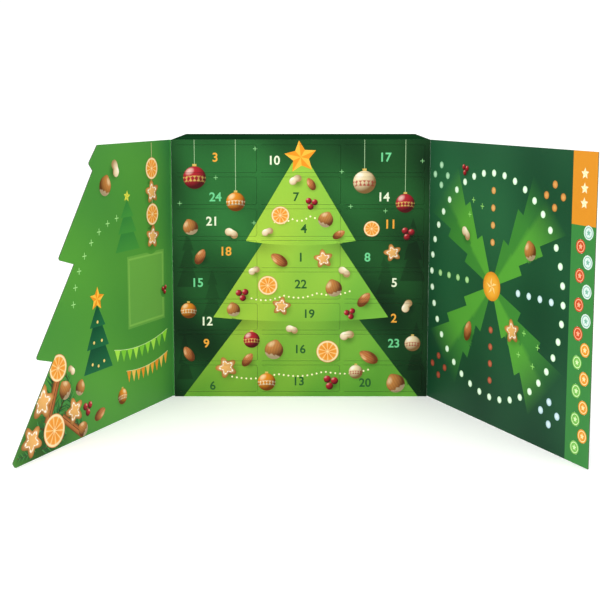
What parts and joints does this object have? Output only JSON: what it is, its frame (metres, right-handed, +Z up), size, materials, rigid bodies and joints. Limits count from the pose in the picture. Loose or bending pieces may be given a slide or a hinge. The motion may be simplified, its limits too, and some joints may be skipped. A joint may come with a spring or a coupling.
{
  "type": "snack advent calendar",
  "caption": "Standing carton calendar with numbered hinged doors over a divider crate of snack packs, a tree-shaped fold-out wing and a game-board wing with press-out counters.",
  "frame": {"origin": "middle of the carton's underside", "axes": "+Z up, +X to the right of someone who faces the doors, -Y out of the doors"},
  "size_m": [0.6272, 0.5038, 0.346],
  "materials": {
    "carton_board": "printed fluted board, dark green, satin varnish",
    "front_print": "printed board, dark green with a light green tree",
    "tree_wing_print": "printed board, leaf green, satin varnish",
    "board_wing_print": "printed board, deep green game board",
    "green_counter": "printed board, light green",
    "red_counter": "printed board, red",
    "orange_counter": "printed board, orange",
    "white_counter": "printed board, mint white",
    "divider_board": "bare grey-brown board",
    "pouch_film": "soft filled pouch of printed film",
    "sachet_film": "soft filled sachet of matt film",
    "bar_wrap": "flow wrapper"
  },
  "bodies": {
    "carton": {"carton": "carton_board", "front_panel": "front_print", "upright_left": "divider_board", "upright_right": "divider_board", "shelf_1": "divider_board", "shelf_2": "divider_board", "shelf_3": "divider_board", "shelf_4": "divider_board", "shelf_5": "divider_board", "shelf_6": "divider_board", "shelf_7": "divider_board", "nut_pouches": "pouch_film", "fruit_sachets": "sachet_film", "snack_bars": "bar_wrap"},
    "door_01": {"door_01": "front_print"},
    "door_02": {"door_02": "front_print"},
    "door_03": {"door_03": "front_print"},
    "door_04": {"door_04": "front_print"},
    "door_05": {"door_05": "front_print"},
    "door_06": {"door_06": "front_print"},
    "door_07": {"door_07": "front_print"},
    "door_08": {"door_08": "front_print"},
    "door_09": {"door_09": "front_print"},
    "door_10": {"door_10": "front_print"},
    "door_11": {"door_11": "front_print"},
    "door_12": {"door_12": "front_print"},
    "door_13": {"door_13": "front_print"},
    "door_14": {"door_14": "front_print"},
    "door_15": {"door_15": "front_print"},
    "door_16": {"door_16": "front_print"},
    "door_17": {"door_17": "front_print"},
    "door_18": {"door_18": "front_print"},
    "door_19": {"door_19": "front_print"},
    "door_20": {"door_20": "front_print"},
    "door_21": {"door_21": "front_print"},
    "door_22": {"door_22": "front_print"},
    "door_23": {"door_23": "front_print"},
    "door_24": {"door_24": "front_print"},
    "left_wing": {"left_wing": "tree_wing_print"},
    "right_wing": {"right_wing": "board_wing_print", "counters_green": "green_counter", "counters_red": "red_counter", "counters_orange": "orange_counter", "counters_white": "white_counter"}
  },
  "joints": [
    {"name": "door_01_crease", "type": "hinge", "parent": "carton", "child": "door_01", "pos_m": [-0.05248, -0.1, 0.19412], "axis": [0, 0, -1], "range_deg": [0, 110]},
    {"name": "door_02_crease", "type": "hinge", "parent": "carton", "child": "door_02", "pos_m": [0.05818, -0.1, 0.10963], "axis": [0, 0, -1], "range_deg": [0, 110]},
    {"name": "door_03_crease", "type": "hinge", "parent": "carton", "child": "door_03", "pos_m": [-0.16315, -0.1, 0.32088], "axis": [0, 0, -1], "range_deg": [0, 110]},
    {"name": "door_04_crease", "type": "hinge", "parent": "carton", "child": "door_04", "pos_m": [-0.05248, -0.1, 0.23638], "axis": [0, 0, -1], "range_deg": [0, 110]},
    {"name": "door_05_crease", "type": "hinge", "parent": "carton", "child": "door_05", "pos_m": [0.05818, -0.1, 0.15188], "axis": [0, 0, -1], "range_deg": [0, 110]},
    {"name": "door_06_crease", "type": "hinge", "parent": "carton", "child": "door_06", "pos_m": [-0.16315, -0.1, 0.02513], "axis": [0, 0, -1], "range_deg": [0, 110]},
    {"name": "door_07_crease", "type": "hinge", "parent": "carton", "child": "door_07", "pos_m": [-0.05248, -0.1, 0.27863], "axis": [0, 0, -1], "range_deg": [0, 110]},
    {"name": "door_08_crease", "type": "hinge", "parent": "carton", "child": "door_08", "pos_m": [0.05818, -0.1, 0.19412], "axis": [0, 0, -1], "range_deg": [0, 110]},
    {"name": "door_09_crease", "type": "hinge", "parent": "carton", "child": "door_09", "pos_m": [-0.16315, -0.1, 0.06738], "axis": [0, 0, -1], "range_deg": [0, 110]},
    {"name": "door_10_crease", "type": "hinge", "parent": "carton", "child": "door_10", "pos_m": [-0.05248, -0.1, 0.32088], "axis": [0, 0, -1], "range_deg": [0, 110]},
    {"name": "door_11_crease", "type": "hinge", "parent": "carton", "child": "door_11", "pos_m": [0.05818, -0.1, 0.23638], "axis": [0, 0, -1], "range_deg": [0, 110]},
    {"name": "door_12_crease", "type": "hinge", "parent": "carton", "child": "door_12", "pos_m": [-0.16315, -0.1, 0.10963], "axis": [0, 0, -1], "range_deg": [0, 110]},
    {"name": "door_13_crease", "type": "hinge", "parent": "carton", "child": "door_13", "pos_m": [-0.05248, -0.1, 0.02513], "axis": [0, 0, -1], "range_deg": [0, 110]},
    {"name": "door_14_crease", "type": "hinge", "parent": "carton", "child": "door_14", "pos_m": [0.05818, -0.1, 0.27863], "axis": [0, 0, -1], "range_deg": [0, 110]},
    {"name": "door_15_crease", "type": "hinge", "parent": "carton", "child": "door_15", "pos_m": [-0.16315, -0.1, 0.15188], "axis": [0, 0, -1], "range_deg": [0, 110]},
    {"name": "door_16_crease", "type": "hinge", "parent": "carton", "child": "door_16", "pos_m": [-0.05248, -0.1, 0.06738], "axis": [0, 0, -1], "range_deg": [0, 110]},
    {"name": "door_17_crease", "type": "hinge", "parent": "carton", "child": "door_17", "pos_m": [0.05818, -0.1, 0.32088], "axis": [0, 0, -1], "range_deg": [0, 110]},
    {"name": "door_18_crease", "type": "hinge", "parent": "carton", "child": "door_18", "pos_m": [-0.16315, -0.1, 0.19412], "axis": [0, 0, -1], "range_deg": [0, 110]},
    {"name": "door_19_crease", "type": "hinge", "parent": "carton", "child": "door_19", "pos_m": [-0.05248, -0.1, 0.10963], "axis": [0, 0, -1], "range_deg": [0, 110]},
    {"name": "door_20_crease", "type": "hinge", "parent": "carton", "child": "door_20", "pos_m": [0.05818, -0.1, 0.02513], "axis": [0, 0, -1], "range_deg": [0, 110]},
    {"name": "door_21_crease", "type": "hinge", "parent": "carton", "child": "door_21", "pos_m": [-0.16315, -0.1, 0.23638], "axis": [0, 0, -1], "range_deg": [0, 110]},
    {"name": "door_22_crease", "type": "hinge", "parent": "carton", "child": "door_22", "pos_m": [-0.05248, -0.1, 0.15188], "axis": [0, 0, -1], "range_deg": [0, 110]},
    {"name": "door_23_crease", "type": "hinge", "parent": "carton", "child": "door_23", "pos_m": [0.05818, -0.1, 0.06738], "axis": [0, 0, -1], "range_deg": [0, 110]},
    {"name": "door_24_crease", "type": "hinge", "parent": "carton", "child": "door_24", "pos_m": [-0.16315, -0.1, 0.27863], "axis": [0, 0, -1], "range_deg": [0, 110]},
    {"name": "left_wing_crease", "type": "hinge", "parent": "carton", "child": "left_wing", "pos_m": [-0.17, -0.1, 0.173], "axis": [0, 0, -1], "range_deg": [-115, 65]},
    {"name": "right_wing_crease", "type": "hinge", "parent": "carton", "child": "right_wing", "pos_m": [0.17, -0.1, 0.173], "axis": [0, 0, 1], "range_deg": [-115, 65]}
  ]
}
